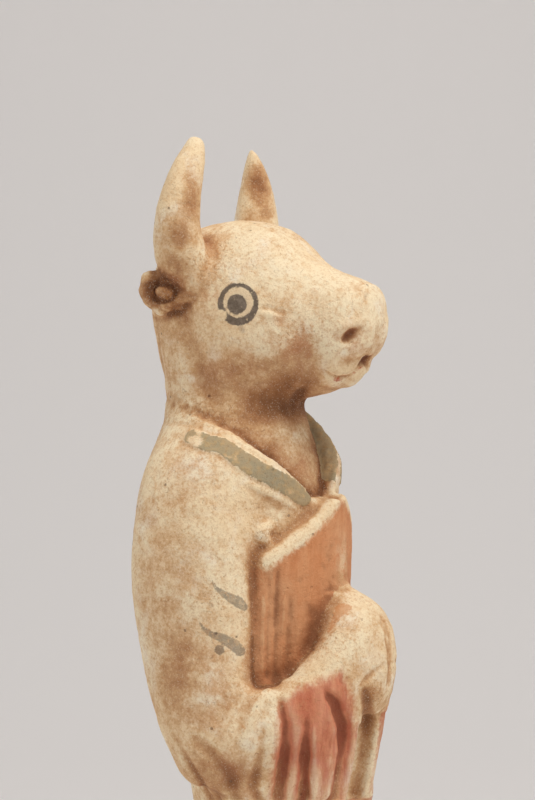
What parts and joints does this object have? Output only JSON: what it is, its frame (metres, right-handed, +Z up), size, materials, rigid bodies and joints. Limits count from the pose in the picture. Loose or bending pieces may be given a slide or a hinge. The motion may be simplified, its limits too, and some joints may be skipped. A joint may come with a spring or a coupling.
{
  "type": "ox-headed earthenware figure",
  "caption": "Standing ox-headed figure in court dress with clasped hands and hanging sleeves, hollow moulded earthenware on a thin plinth with a firing vent.",
  "frame": {"origin": "centre of the overall box, on the underside of the plinth", "axes": "+Z up, the figure faces -Y, its own right hand is at -X"},
  "size_m": [0.0706, 0.0778, 0.3],
  "materials": {
    "clay": "matt unglazed earthenware under a worn cream slip with earth stains",
    "raw_clay": "bare matt earthenware",
    "orange_clay": "matt orange pigment on earthenware",
    "grey_clay": "matt grey-green pigment on earthenware",
    "red_clay": "matt worn red pigment over earthenware"
  },
  "bodies": {
    "root": {"plinth": "clay", "robe_front_shell": "clay", "robe_back_shell": "clay", "skirt_front": "orange_clay", "collar_band_right": "grey_clay", "collar_band_left": "grey_clay", "neck_tenon": "raw_clay", "head_right_shell": "clay", "head_left_shell": "clay", "horn_right": "clay", "horn_left": "clay", "ear_right": "clay", "ear_left": "clay", "arm_right": "clay", "arm_left": "clay", "forearm_right": "clay", "forearm_left": "clay", "clasped_hands": "clay", "hanging_sleeve_right": "red_clay", "hanging_sleeve_left": "red_clay", "shoe_right": "clay", "shoe_left": "clay"}
  },
  "joints": []
}
